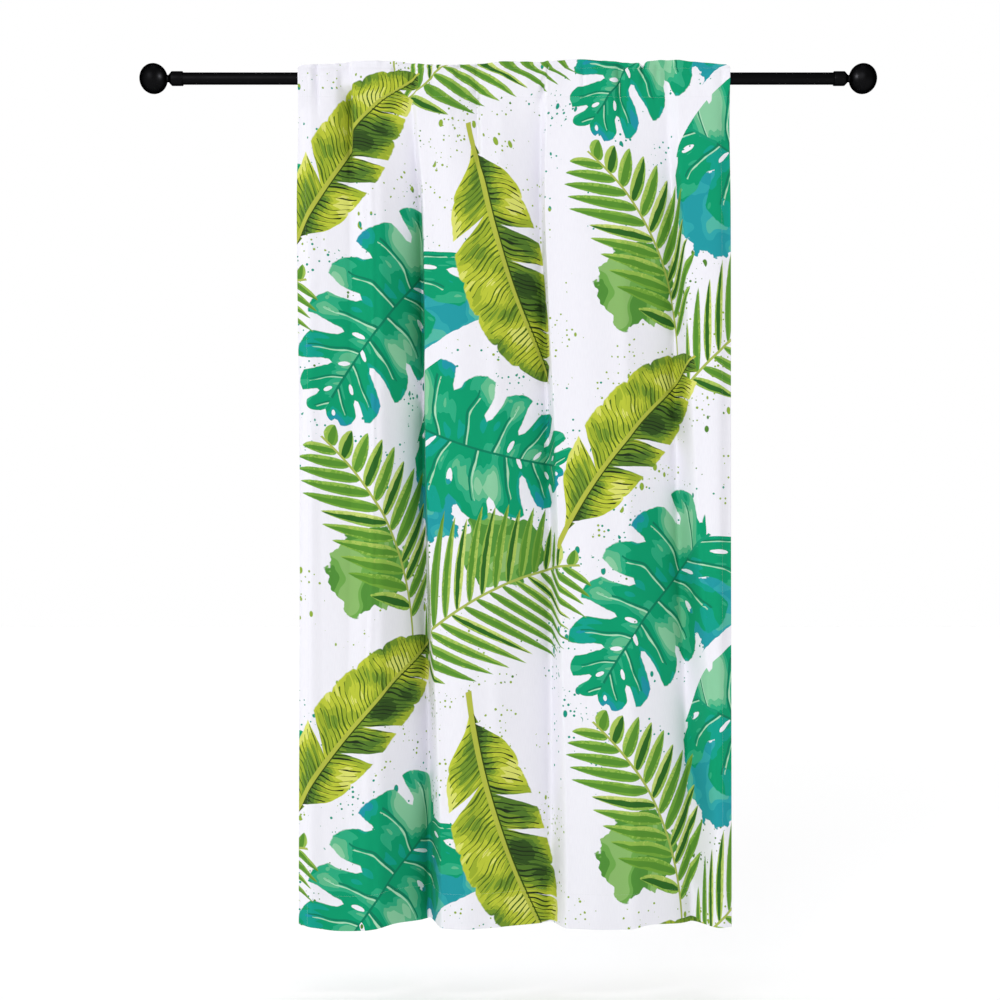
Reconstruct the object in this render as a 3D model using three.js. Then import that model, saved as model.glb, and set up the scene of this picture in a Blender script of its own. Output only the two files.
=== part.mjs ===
// A rod-pocket curtain panel hanging in soft folds on a plain black rod with ball finials.
// Millimetres. The origin is the centre of the rod at the middle of its length.
// +X runs along the rod, -Y faces the room, +Z is up.
import * as THREE from "three";

// Driving dimensions of the rod and its ends
const ROD_DIAMETER = 30;
const ROD_END = 826; // from the middle to each end of the bar, inside its collar
const FIT_GAP = 0.3; // clearance between hard pieces that touch

const COLLAR = {
  mouth: 805, // where the collar starts, from the middle of the rod
  shoulder: 832, // where its taper starts
  nose: 839.5, // where its taper ends
  diameter: 36,
  noseDiameter: 20,
  rim: 1.2, // chamfer at the mouth and at the shoulder
};

const FINIAL = {
  tip: 912, // outermost point, from the middle of the rod
  length: 69, // the ball along the rod
  diameter: 75, // the ball across the rod
  neckDiameter: 18,
  spigotDiameter: 10,
};

// Driving dimensions of the curtain
const PANEL = {
  drop: 2134, // header edge to hem
  header: 41, // header edge above the centre of the rod
  thickness: 1.5,
};

// In a section across the rod the pocket is the rod's circle drawn out to its two seams.
const POCKET = {
  ease: 0.7, // between the rod and the cloth that lies on it
  bottomSeam: -50, // height of the lower seam
  gripAngle: 50, // degrees above the level of the rod's centre where the two layers leave it
  openBelow: 55, // how far under the seam the folds have opened
  puckerBelow: 90, // how far under the seam the puckers run out
};

// Heights at which each fold is measured: under the seam, upper part, middle and hem
const FOLD_HEIGHTS = [-75, -330, -1000, -2093];

// How far the crests between the folds stand in front of the rod's centre at those heights
const CREST_FRONT = [12, 30, 36, 40];

// The panel's side edges at those heights
const SIDE_EDGES = {
  left: [-518, -521, -513, -515],
  right: [546, 548, 548, 549],
  curl: 12, // how far each edge turns back
  curlWidth: 34,
  swell: 4, // how far the crest beside the left edge rounds out
};

// One row for each fold, left to right: the cloth leaves its crest at start, slopes back to floor
// by depth, and comes forward again at edge. swell is how far the crest to its right rounds out.
const FOLDS = [
  {
    start: [-446, -452, -455, -470],
    floor: [-396, -398, -396, -415],
    edge: [-378, -352, -345, -385],
    depth: [14, 14, 10, 6],
    swell: 3,
  },
  {
    start: [-330, -322, -322, -362],
    floor: [-252, -234, -228, -226],
    edge: [-226, -207, -200, -180],
    depth: [20, 64, 86, 97],
    swell: 9,
  },
  {
    start: [-26, -32, -42, 6],
    floor: [66, 70, 88, 84],
    edge: [84, 90, 116, 138],
    depth: [21, 48, 52, 62],
    swell: 8,
  },
  {
    start: [262, 268, 284, 300],
    floor: [392, 410, 408, 424],
    edge: [422, 432, 462, 496],
    depth: [18, 46, 57, 60],
    swell: 5,
  },
];

// Height of the header's edge above or below its mean, along the rod
const HEADER_WAVE = {
  along: [-517, -400, -200, 0, 160, 287, 400, 546],
  rise: [-7, 0, -4, 3, 6, -4, 5, -5],
};

// Drop of the hem below or above its mean, along the panel
const HEM_WAVE = {
  along: [-515, -420, -200, 140, 300, 549],
  rise: [6, -6, 2, 0, -2, 3],
};

// The gathers that the pocket puts into the cloth, as soft ribs of uneven spacing and height
const PUCKERS = [
  { at: -452, height: 4, width: 20 },
  { at: -350, height: 3, width: 24 },
  { at: -276, height: 4, width: 18 },
  { at: -170, height: 3, width: 22 },
  { at: -98, height: 5, width: 18 },
  { at: -18, height: 4, width: 26 },
  { at: 48, height: 4, width: 16 },
  { at: 108, height: 5, width: 20 },
  { at: 190, height: 3, width: 24 },
  { at: 262, height: 5, width: 18 },
  { at: 338, height: 3, width: 26 },
  { at: 420, height: 4, width: 20 },
  { at: 498, height: 3, width: 22 },
];

// Mesh steps
const STEPS = { crest: 7, slope: 6, edge: 5 };
// Levels of the cloth, hem first, as shares of the way from the pocket's lower seam to the hem
const DROP_LEVELS = [1, 0.9, 0.79, 0.68, 0.56, 0.44, 0.33, 0.23, 0.15, 0.09, 0.05, 0.024, 0.01];
const HEADER_LEVELS = [0.5, 1]; // shares of the way from the upper seam to the header's edge
const ROUND_SEGMENTS = 40;
const BALL_STEPS = 16;

const clothWhite = new THREE.MeshStandardMaterial({ color: 0xf4f3f8, roughness: 0.85, metalness: 0 });
const rodBlack = new THREE.MeshStandardMaterial({ color: 0x0b0b0c, roughness: 0.38, metalness: 0.4 });
const finialBlack = new THREE.MeshStandardMaterial({ color: 0x0a0a0b, roughness: 0.3, metalness: 0.4 });

const smooth = (t) => {
  const s = THREE.MathUtils.clamp(t, 0, 1);
  return s * s * (3 - 2 * s);
};

// A smooth curve through values given at rising or falling stations
function through(stations, values, at) {
  const last = stations.length - 1;
  const rising = stations[last] > stations[0];
  const outside = (a, b) => (rising ? a <= b : a >= b);
  if (outside(at, stations[0])) return values[0];
  if (outside(stations[last], at)) return values[last];
  let i = 0;
  while (outside(stations[i + 1], at)) i += 1;
  const slope = (k) =>
    k === 0 || k === last ? 0 : (values[k + 1] - values[k - 1]) / (stations[k + 1] - stations[k - 1]);
  const width = stations[i + 1] - stations[i];
  const t = (at - stations[i]) / width;
  const t2 = t * t;
  const t3 = t2 * t;
  return (
    values[i] * (2 * t3 - 3 * t2 + 1) +
    slope(i) * width * (t3 - 2 * t2 + t) +
    values[i + 1] * (3 * t2 - 2 * t3) +
    slope(i + 1) * width * (t3 - t2)
  );
}

const atHeight = (values, z) => through(FOLD_HEIGHTS, values, z);

// The lines that the mesh columns follow down the cloth at one height, left to right
function columnPlaces(z) {
  const marks = [{ x: atHeight(SIDE_EDGES.left, z), steps: STEPS.crest }];
  for (const fold of FOLDS) {
    marks.push({ x: atHeight(fold.start, z), steps: STEPS.slope });
    marks.push({ x: atHeight(fold.floor, z), steps: STEPS.edge });
    marks.push({ x: atHeight(fold.edge, z), steps: STEPS.crest });
  }
  marks.push({ x: atHeight(SIDE_EDGES.right, z), steps: 0 });
  const places = [];
  for (let m = 0; m + 1 < marks.length; m += 1) {
    for (let k = 0; k < marks[m].steps; k += 1) {
      places.push(THREE.MathUtils.lerp(marks[m].x, marks[m + 1].x, k / marks[m].steps));
    }
  }
  places.push(marks[marks.length - 1].x);
  return places;
}

// How far back the folds carry the cloth from the crests' front, at one place
function foldDepth(x, z) {
  const left = atHeight(SIDE_EDGES.left, z);
  const right = atHeight(SIDE_EDGES.right, z);
  const rounding = (from, to) => Math.sin((Math.PI * (x - from)) / (to - from)) ** 2;
  let back = 0;
  let crestStart = left;
  let swell = SIDE_EDGES.swell;
  for (const fold of FOLDS) {
    const start = atHeight(fold.start, z);
    const floor = atHeight(fold.floor, z);
    const edge = atHeight(fold.edge, z);
    const depth = atHeight(fold.depth, z);
    if (x > crestStart && x < start) back -= swell * rounding(crestStart, start);
    if (x >= start && x <= floor) back += depth * smooth((x - start) / (floor - start));
    if (x > floor && x < edge) back += depth * smooth((edge - x) / (edge - floor));
    crestStart = edge;
    swell = fold.swell;
  }
  if (x > crestStart) back -= swell * rounding(crestStart, right);
  const toEdge = Math.min(x - left, right - x);
  return back + SIDE_EDGES.curl * (1 - smooth(toEdge / SIDE_EDGES.curlWidth));
}

// The ribs that the pocket gathers into the cloth
function pucker(x) {
  let out = 0;
  for (const rib of PUCKERS) out += rib.height * Math.exp(-(((x - rib.at) / rib.width) ** 2));
  return out;
}

// Middle of the cloth under the pocket's seam, where the folds open out of the seam's line
function clothBelow(x, z) {
  const under = POCKET.bottomSeam - z;
  const open = Math.sin((Math.PI / 2) * Math.min(under / POCKET.openBelow, 1));
  const fade = 1 - smooth(under / POCKET.puckerBelow);
  return open * (foldDepth(x, z) - atHeight(CREST_FRONT, z) - pucker(x) * fade);
}

// Places of the pocket's inner face, lower seam to upper seam, as distance from the middle plane
// and height; the ones between the seams lie on the rod or on the straight stretch under it.
function pocketProfile() {
  const radius = ROD_DIAMETER / 2 + POCKET.ease;
  const leave = Math.acos(radius / -POCKET.bottomSeam) - Math.PI / 2; // angle where the lower stretch starts
  const grip = THREE.MathUtils.degToRad(POCKET.gripAngle);
  const topSeam = radius / Math.sin(grip);
  const onRod = (angle) => ({
    out: radius * Math.cos(angle),
    z: radius * Math.sin(angle),
    normal: [Math.cos(angle), Math.sin(angle)],
    pucker: Math.cos(angle),
  });
  const touch = onRod(leave);
  return [
    { out: 0, z: POCKET.bottomSeam, normal: [1, 0], pucker: 0 },
    { ...touch, out: touch.out / 2, z: (touch.z + POCKET.bottomSeam) / 2, pucker: 0.5 },
    touch,
    onRod(0),
    onRod(grip / 2),
    onRod(grip),
    { out: 0, z: topSeam, normal: [1, 0], pucker: 0 },
  ];
}

// Front, back and pocket points of one column of the cloth, hem to header
function clothColumn(index) {
  const wall = PANEL.thickness;
  const seamX = columnPlaces(POCKET.bottomSeam)[index];
  const hemX = columnPlaces(PANEL.header - PANEL.drop)[index];
  const hemZ = PANEL.header - PANEL.drop + through(HEM_WAVE.along, HEM_WAVE.rise, hemX);
  const levels = [];
  for (const share of DROP_LEVELS) {
    const z = THREE.MathUtils.lerp(POCKET.bottomSeam, hemZ, share);
    const x = columnPlaces(z)[index];
    levels.push({ middle: new THREE.Vector3(x, clothBelow(x, z), z) });
  }
  for (const place of pocketProfile()) {
    const rib = pucker(seamX) * place.pucker;
    const seam = place.out === 0;
    const inner = place.out + (seam ? 0 : rib);
    const outer = [inner + wall * place.normal[0], place.z + wall * place.normal[1]];
    levels.push({
      front: new THREE.Vector3(seamX, -outer[0], outer[1]),
      back: new THREE.Vector3(seamX, outer[0], outer[1]),
      tunnelFront: new THREE.Vector3(seamX, -inner, place.z),
      tunnelBack: new THREE.Vector3(seamX, inner, place.z),
      seam,
    });
  }
  const edgeZ = PANEL.header + through(HEADER_WAVE.along, HEADER_WAVE.rise, seamX);
  const seamZ = levels[levels.length - 1].front.z;
  for (const share of HEADER_LEVELS) {
    const z = THREE.MathUtils.lerp(seamZ, edgeZ, share);
    levels.push({
      front: new THREE.Vector3(seamX, -wall, z),
      back: new THREE.Vector3(seamX, wall, z),
    });
  }
  return levels;
}

// The single-layer cloth gets its two faces half a thickness off its middle
function addFaces(columns) {
  const spot = (i, j) => columns[i][j].middle ?? columns[i][j].tunnelFront;
  for (let i = 0; i < columns.length; i += 1) {
    for (let j = 0; j < DROP_LEVELS.length; j += 1) {
      const across = new THREE.Vector3().subVectors(
        spot(Math.min(i + 1, columns.length - 1), j),
        spot(Math.max(i - 1, 0), j),
      );
      const up = new THREE.Vector3().subVectors(spot(i, j + 1), spot(i, Math.max(j - 1, 0)));
      const normal = across.cross(up).normalize(); // towards the room
      const level = columns[i][j];
      level.front = level.middle.clone().addScaledVector(normal, PANEL.thickness / 2);
      level.back = level.middle.clone().addScaledVector(normal, -PANEL.thickness / 2);
    }
  }
}

function curtainPanel() {
  const count = columnPlaces(0).length;
  const columns = Array.from({ length: count }, (_, index) => clothColumn(index));
  addFaces(columns);
  const triangles = [];
  const quad = (a, b, c, d) => triangles.push(a, b, c, a, c, d);
  const top = columns[0].length - 1;
  const bottomSeam = columns[0].findIndex((level) => level.seam);
  const topSeam = columns[0].findLastIndex((level) => level.seam);

  for (let i = 0; i + 1 < count; i += 1) {
    const [left, right] = [columns[i], columns[i + 1]];
    for (let j = 0; j < top; j += 1) {
      quad(left[j].front, right[j].front, right[j + 1].front, left[j + 1].front);
      quad(right[j].back, left[j].back, left[j + 1].back, right[j + 1].back);
      if (j >= bottomSeam && j < topSeam) {
        quad(right[j].tunnelFront, left[j].tunnelFront, left[j + 1].tunnelFront, right[j + 1].tunnelFront);
        quad(left[j].tunnelBack, right[j].tunnelBack, right[j + 1].tunnelBack, left[j + 1].tunnelBack);
      }
    }
    quad(right[0].front, left[0].front, left[0].back, right[0].back);
    quad(left[top].front, right[top].front, right[top].back, left[top].back);
  }

  // The two side edges, open at the pocket
  for (const [column, turn] of [[columns[0], 1], [columns[count - 1], -1]]) {
    const face = (...points) => {
      for (let k = 1; k + 1 < points.length; k += 1) {
        const corner = [points[0], points[k], points[k + 1]];
        triangles.push(...(turn > 0 ? corner : corner.reverse()));
      }
    };
    for (let j = 0; j < top; j += 1) {
      const [low, high] = [column[j], column[j + 1]];
      if (j >= bottomSeam && j < topSeam) {
        face(low.front, high.front, high.tunnelFront, low.tunnelFront);
        face(low.tunnelBack, high.tunnelBack, high.back, low.back);
      } else if (high.seam) {
        face(high.tunnelFront, high.back, low.back, low.front, high.front);
      } else if (low.seam) {
        face(low.tunnelFront, low.front, high.front, high.back, low.back);
      } else {
        face(low.front, high.front, high.back, low.back);
      }
    }
  }
  const geometry = new THREE.BufferGeometry().setFromPoints(triangles);
  geometry.computeVertexNormals();
  const mesh = new THREE.Mesh(geometry, clothWhite);
  mesh.name = "curtain_panel";
  return mesh;
}

// A turned piece: profile points are [distance along the rod, radius]
function turned(name, profile, material) {
  const points = profile.map(([along, radius]) => new THREE.Vector2(radius, along));
  const mesh = new THREE.Mesh(new THREE.LatheGeometry(points, ROUND_SEGMENTS), material);
  mesh.name = name;
  mesh.rotation.z = -Math.PI / 2;
  return mesh;
}

function rod() {
  const radius = ROD_DIAMETER / 2;
  return turned("rod", [[-ROD_END, 0], [-ROD_END, radius], [ROD_END, radius], [ROD_END, 0]], rodBlack);
}

// The collar slips over the end of the rod and tapers to the finial's neck.
function collarProfile() {
  const bore = ROD_DIAMETER / 2 + FIT_GAP;
  const hole = FINIAL.spigotDiameter / 2 + FIT_GAP;
  const { mouth, shoulder, nose, rim } = COLLAR;
  const outer = COLLAR.diameter / 2;
  return [
    [mouth, bore],
    [mouth, outer - rim],
    [mouth + rim, outer],
    [shoulder - rim, outer],
    [shoulder, outer - rim],
    [nose, COLLAR.noseDiameter / 2],
    [nose, hole],
    [ROD_END + FIT_GAP, hole],
    [ROD_END + FIT_GAP, bore],
    [mouth, bore],
  ];
}

// A slightly flattened ball on a short neck, with a spigot through the collar's nose
function finialProfile() {
  const spigot = FINIAL.spigotDiameter / 2;
  const neck = FINIAL.neckDiameter / 2;
  const radius = FINIAL.diameter / 2;
  const centre = FINIAL.tip - FINIAL.length / 2;
  const neckAngle = Math.asin(neck / radius);
  const profile = [
    [ROD_END + 2 * FIT_GAP, 0],
    [ROD_END + 2 * FIT_GAP, spigot],
    [COLLAR.nose + FIT_GAP, spigot],
    [COLLAR.nose + FIT_GAP, neck],
  ];
  for (let k = 0; k <= BALL_STEPS; k += 1) {
    const angle = THREE.MathUtils.lerp(neckAngle, Math.PI, k / BALL_STEPS);
    const across = k === BALL_STEPS ? 0 : radius * Math.sin(angle);
    profile.push([centre - (FINIAL.length / 2) * Math.cos(angle), across]);
  }
  return profile;
}

const curtain = new THREE.Group();
curtain.add(curtainPanel(), rod());
for (const [side, turn] of [["right", 0], ["left", Math.PI]]) {
  const end = new THREE.Group();
  end.rotation.z = turn;
  end.add(turned(`collar_${side}`, collarProfile(), rodBlack));
  end.add(turned(`ball_finial_${side}`, finialProfile(), finialBlack));
  curtain.add(end);
}

export default curtain;
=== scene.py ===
import math
from collections import namedtuple
from functools import partialmethod

import bpy
import numpy as np
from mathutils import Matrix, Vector


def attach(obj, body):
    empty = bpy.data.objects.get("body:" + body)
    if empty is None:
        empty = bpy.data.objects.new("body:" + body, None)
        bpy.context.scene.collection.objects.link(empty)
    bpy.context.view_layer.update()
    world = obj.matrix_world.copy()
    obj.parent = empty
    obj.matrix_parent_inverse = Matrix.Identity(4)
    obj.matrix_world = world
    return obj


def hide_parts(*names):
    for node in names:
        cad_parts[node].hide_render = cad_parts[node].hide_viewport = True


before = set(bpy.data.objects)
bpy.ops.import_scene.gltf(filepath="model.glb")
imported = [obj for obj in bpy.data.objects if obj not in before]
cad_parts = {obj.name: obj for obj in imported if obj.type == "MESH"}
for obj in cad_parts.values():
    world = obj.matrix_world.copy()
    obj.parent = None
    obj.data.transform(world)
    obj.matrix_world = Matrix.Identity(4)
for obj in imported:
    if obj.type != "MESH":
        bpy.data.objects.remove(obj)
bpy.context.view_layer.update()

# Rod, pocket and panel, as the CAD model has them
ROD_RADIUS = 0.015
POCKET_EASE = 0.0007  # between the rod and the cloth that lies on it
GRIP_ANGLE = math.radians(50)  # above the rod's centre, where the pocket's two layers leave it
LOWER_SEAM = -0.050
HEADER_EDGE = 0.041
PANEL_DROP = 2.134
HEM_LINE = HEADER_EDGE - PANEL_DROP
OPEN_BELOW = 0.080  # how far under the seam the folds have opened
PUCKER_BELOW = 0.090  # how far under the seam the puckers run out

# The cloth itself
CLOTH = 0.0013
HEM_EXTRA = 0.0011  # how much thicker the turned hems are
SIDE_HEM = 0.025
BOTTOM_HEM = 0.088
FLAT_WIDTH = 1.270

# Heights at which the folds are measured: under the seam, upper part, middle and hem
FOLD_HEIGHTS = (-0.075, -0.330, -1.000, -2.093)
CREST_FRONT = (0.020, 0.031, 0.036, 0.040)  # how far the crests stand in front of the rod's centre

LEFT_EDGE = (-0.518, -0.521, -0.513, -0.515)
RIGHT_EDGE = (0.546, 0.548, 0.548, 0.549)
EDGE_CURL = 0.012  # how far each side edge turns back
EDGE_CURL_WIDTH = 0.034

# One row for each fold, left to right. The cloth leaves its crest at start, slopes back to floor by
# depth and comes forward again at edge. swell is how far the crest to its right rounds out, and
# columns is how many mesh columns the slope, the steep side and that crest take.
Fold = namedtuple("Fold", "start floor edge depth swell columns")
FOLDS = (
    Fold((-0.446, -0.452, -0.455, -0.446), (-0.394, -0.392, -0.388, -0.402),
         (-0.384, -0.350, -0.340, -0.370), (0.018, 0.013, 0.009, 0.001), 0.003, (14, 10, 9)),
    Fold((-0.330, -0.322, -0.322, -0.326), (-0.238, -0.218, -0.210, -0.198),
         (-0.224, -0.208, -0.200, -0.160), (0.023, 0.078, 0.099, 0.107), 0.008, (26, 16, 46)),
    Fold((-0.026, -0.032, -0.042, -0.040), (0.080, 0.081, 0.101, 0.104),
         (0.095, 0.091, 0.120, 0.146), (0.034, 0.066, 0.068, 0.070), 0.005, (18, 12, 40)),
    Fold((0.262, 0.268, 0.284, 0.297), (0.392, 0.408, 0.420, 0.456),
         (0.422, 0.432, 0.464, 0.520), (0.022, 0.060, 0.078, 0.078), 0.004, (32, 14, 12)),
)
LEFT_CREST_SWELL = 0.004
LEFT_CREST_COLUMNS = 15

# How far the header's edge lies under HEADER_EDGE, and the hem over or under HEM_LINE, as places
# along the rod and heights there
HEADER_WAVE = ((-0.517, -0.441, -0.380, -0.268, -0.190, -0.090, -0.010, 0.110,
                0.160, 0.257, 0.300, 0.345, 0.390, 0.455, 0.546),
               (-0.0135, -0.012, -0.005, -0.005, -0.013, -0.0135, -0.0055, -0.005,
                0.0, -0.006, -0.0095, -0.004, 0.0, -0.006, -0.0125))
HEADER_CORNER = 0.009  # the radius at which the header's corners are rounded
HEM_WAVE = ((-0.515, -0.420, -0.340, -0.275, -0.190, -0.110, 0.0, 0.140, 0.300, 0.350, 0.440, 0.549),
            (0.006, -0.006, -0.004, 0.006, 0.001, -0.001, 0.003, 0.0, -0.002, 0.005, 0.0, 0.002))

# The gathers that the pocket puts into the cloth, as soft ribs: place along the rod, height, width
Pucker = namedtuple("Pucker", "at height width")
PUCKERS = tuple(Pucker(*row) for row in (
    (-0.452, 0.004, 0.020),
    (-0.350, 0.003, 0.024),
    (-0.276, 0.004, 0.018),
    (-0.170, 0.003, 0.022),
    (-0.098, 0.005, 0.018),
    (-0.018, 0.004, 0.026),
    (0.048, 0.004, 0.016),
    (0.108, 0.005, 0.020),
    (0.190, 0.003, 0.024),
    (0.262, 0.005, 0.018),
    (0.338, 0.003, 0.026),
    (0.420, 0.004, 0.020),
    (0.498, 0.003, 0.022),
    # narrower gathers, which draw up the small creases at the header
    (-0.484, 0.0034, 0.006),
    (-0.421, 0.0044, 0.006),
    (-0.396, 0.0050, 0.007),
    (-0.322, 0.0034, 0.006),
    (-0.140, 0.0046, 0.006),
    (-0.119, 0.0040, 0.006),
    (-0.078, 0.0046, 0.008),
    (0.078, 0.0046, 0.006),
    (0.096, 0.0036, 0.005),
    (0.238, 0.0036, 0.008),
    (0.292, 0.0050, 0.007),
    (0.374, 0.0034, 0.008),
    (0.462, 0.0030, 0.007),
))
# Where one gather draws the header's edge down
HEADER_NOTCH = Pucker(0.331, 0.011, 0.006)

# Smaller creases, listed one by one. Each is a trough: the cloth slopes back from start to floor and
# comes forward at edge, between top and bottom, moving right by lean over that length.
Crease = namedtuple("Crease", "start floor edge depth top bottom lean")
CREASES = tuple(Crease(*row) for row in (
    (-0.491, -0.473, -0.466, 0.013, 0.044, -0.110, 0.004),
    (-0.430, -0.391, -0.383, 0.031, 0.034, -0.290, 0.004),
    (-0.292, -0.281, -0.274, 0.007, 0.040, -0.090, -0.004),
    (-0.200, -0.190, -0.183, 0.006, 0.042, -0.080, 0.005),
    (-0.156, -0.078, -0.068, 0.019, 0.020, -0.330, 0.004),
    (-0.142, -0.127, -0.118, 0.011, 0.040, -0.070, 0.020),
    (-0.100, -0.080, -0.072, 0.010, 0.036, -0.070, 0.0),
    (0.090, 0.101, 0.105, 0.016, 0.034, -0.090, -0.030),
    (0.172, 0.182, 0.188, 0.005, 0.040, -0.070, 0.004),
    (0.250, 0.272, 0.279, 0.016, 0.040, -0.130, 0.004),
    (0.318, 0.331, 0.337, 0.009, 0.044, -0.050, 0.0),
    (0.356, 0.367, 0.373, 0.006, 0.040, -0.080, -0.004),
    (0.508, 0.524, 0.534, 0.004, 0.036, -0.160, 0.004),
))

# The folds already show where the cloth passes over the rod: its crests stand this far forward
CREST_AT_ROD = 0.010
SEAM_LEAN = 0.006  # how far in front of the rod's centre the lower seam lies between the crests
HEADER_LEAN = 0.011  # how far in front of the rod's centre the upper seam lies

WHITE = (0.826, 0.818, 0.876, 1.0)
SLUB_WHITE = (0.806, 0.798, 0.858, 1.0)
THREAD_DARK = (0.50, 0.52, 0.52, 1.0)
THREAD_PALE = (0.64, 0.66, 0.66, 1.0)


def into_scene(name, data):
    """A new object in the scene, made of a mesh, light or camera."""
    thing = bpy.data.objects.new(name, data)
    bpy.context.scene.collection.objects.link(thing)
    return thing


def smooth_mesh(name, verts, faces):
    """A smooth-shaded mesh from arrays of vertices and faces."""
    mesh = bpy.data.meshes.new(name)
    mesh.from_pydata(verts.tolist(), [], faces.tolist())
    mesh.polygons.foreach_set("use_smooth", np.ones(len(faces), bool))
    mesh.update()
    return mesh


# Shape functions

def smooth(t):
    """A soft step from 0 to 1."""
    t = np.clip(t, 0.0, 1.0)
    return t * t * (3 - 2 * t)


def through(stations, values, at):
    """A smooth curve through values at stations, level at both ends."""
    stations, values = np.array(stations), np.array(values)
    if stations[0] > stations[-1]:
        stations, values = stations[::-1], values[::-1]
    slope = np.zeros(len(values))
    slope[1:-1] = (values[2:] - values[:-2]) / (stations[2:] - stations[:-2])
    at = np.clip(at, stations[0], stations[-1])
    i = np.clip(np.searchsorted(stations, at, side="right") - 1, 0, len(stations) - 2)
    width = stations[i + 1] - stations[i]
    t = (at - stations[i]) / width
    return (
        values[i] * (2 * t**3 - 3 * t**2 + 1)
        + slope[i] * width * (t**3 - 2 * t**2 + t)
        + values[i + 1] * (3 * t**2 - 2 * t**3)
        + slope[i + 1] * width * (t**3 - t**2)
    )


def at_height(values, z):
    return through(FOLD_HEIGHTS, values, z)


RAMP_ROUNDING = 0.16  # the share of the way down that the rounded start takes
RAMP_PLUNGE = 0.24  # the share of the depth that comes only just before the floor


def ramp(t):
    """The slope into a fold: a short rounded start, then steadily down, steepest before the floor."""
    t = np.clip(t, 0.0, 1.0)
    start = RAMP_ROUNDING
    eased = np.where(t < start, t * t / (2 * start), t - start / 2) / (1 - start / 2)
    return (1 - RAMP_PLUNGE) * eased + RAMP_PLUNGE * eased**6


def bell(x, at, width):
    return np.exp(-(((x - at) / width) ** 2))


def trough(x, start, floor, edge):
    """1 at the floor of a crease and 0 outside it."""
    back = ramp((x - start) / (floor - start))
    forward = smooth((edge - x) / (edge - floor))
    return np.where(x < floor, back, forward)


CREASE_BEGINS = 0.2  # a crease deepens over this share of its length, from the top
CREASE_FADES = 0.35  # and it runs out from here to its bottom


def creases(x, z):
    """How far back the smaller creases carry the cloth."""
    back = np.zeros_like(x)
    for crease in CREASES:
        share = (crease.top - z) / (crease.top - crease.bottom)
        shift = crease.lean * np.clip(share, 0, 1)
        fading = (share - CREASE_FADES) / (1 - CREASE_FADES)
        strength = smooth(share / CREASE_BEGINS) * (1 - smooth(fading))
        back += crease.depth * strength * trough(
            x, crease.start + shift, crease.floor + shift, crease.edge + shift)
    return back


def pucker(x):
    return sum(rib.height * bell(x, rib.at, rib.width) for rib in PUCKERS)


# The sheet's columns. Each stretch of columns runs from one line down the cloth to the next, and is a
# crest, the slope into a fold or the steep side where the cloth comes forward again. The offsets are
# added to where it starts and ends, and fold is the one that a slope or a steep side belongs to.
Stretch = namedtuple("Stretch", "kind start start_offset end end_offset columns fold")
EDGE_ROUNDING = 0.0012
HEM_STEP = 0.0005  # half the way over which a turned hem's thickness ends
HEM_COLUMNS = 5
SIDE_HEM_COLUMNS = HEM_COLUMNS + 2  # with the rounding of the edge on both sides
CROWD = 2.2  # how much closer together the columns lie at a crease
CROWD_WIDTH = 0.009
CROWD_SAMPLES = 400


def cloth_stretches():
    def edge(places, offset, end_offset, columns):
        return Stretch("crest", places, offset, places, end_offset, columns, None)

    first = FOLDS[0]
    stretches = [
        edge(LEFT_EDGE, 0.0, EDGE_ROUNDING, 1),
        edge(LEFT_EDGE, EDGE_ROUNDING, SIDE_HEM - HEM_STEP, HEM_COLUMNS),
        edge(LEFT_EDGE, SIDE_HEM - HEM_STEP, SIDE_HEM + HEM_STEP, 1),
        Stretch("crest", LEFT_EDGE, SIDE_HEM + HEM_STEP, first.start, 0.0, LEFT_CREST_COLUMNS, None),
    ]
    for fold, after in zip(FOLDS, FOLDS[1:] + (None,)):
        slope_columns, steep_columns, crest_columns = fold.columns
        stretches.append(Stretch("slope", fold.start, 0.0, fold.floor, 0.0, slope_columns, fold))
        stretches.append(Stretch("steep", fold.floor, 0.0, fold.edge, 0.0, steep_columns, fold))
        end, offset = (after.start, 0.0) if after else (RIGHT_EDGE, -SIDE_HEM - HEM_STEP)
        stretches.append(Stretch("crest", fold.edge, 0.0, end, offset, crest_columns, None))
    stretches += [
        edge(RIGHT_EDGE, -SIDE_HEM - HEM_STEP, -SIDE_HEM + HEM_STEP, 1),
        edge(RIGHT_EDGE, -SIDE_HEM + HEM_STEP, -EDGE_ROUNDING, HEM_COLUMNS),
        edge(RIGHT_EDGE, -EDGE_ROUNDING, 0.0, 1),
    ]
    return stretches


def in_stretch(stretch, z, share):
    """x at a share of the way through a stretch, at height z."""
    start = at_height(stretch.start, z) + stretch.start_offset
    end = at_height(stretch.end, z) + stretch.end_offset
    return start + (end - start) * share


def column_shares(stretch):
    """The columns of one stretch as shares of the way through it, closer together at the creases."""
    share = np.linspace(0.0, 1.0, CROWD_SAMPLES)
    x = in_stretch(stretch, LOWER_SEAM, share)
    crowd = 1 + sum(CROWD * bell(x, crease.floor, CROWD_WIDTH) for crease in CREASES)
    passed = np.cumsum(crowd) - crowd[0]
    return np.interp(np.arange(stretch.columns) / stretch.columns, passed / passed[-1], share)


def cloth_columns():
    """Every column as its stretch and its share of the way through it, left to right."""
    columns = [(s, share) for s in cloth_stretches() for share in column_shares(s)]
    return columns + [(cloth_stretches()[-1], 1.0)]


COLUMNS = cloth_columns()


def column_places(z):
    """x of every column at heights z, which has one row for each level and one value for each column."""
    places = np.empty(z.shape)
    for i, (stretch, share) in enumerate(COLUMNS):
        places[:, i] = in_stretch(stretch, z[:, i], share)
    return places


def level_places(z):
    """x of every column at one height."""
    return column_places(np.full((1, len(COLUMNS)), z))[0]


def crest_share():
    """1 on a crest and 0 on a fold's floor, for every column."""
    share_of = {"crest": lambda t: 1.0, "slope": lambda t: 1 - ramp(t), "steep": smooth}
    return np.array([float(share_of[stretch.kind](share)) for stretch, share in COLUMNS])


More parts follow.
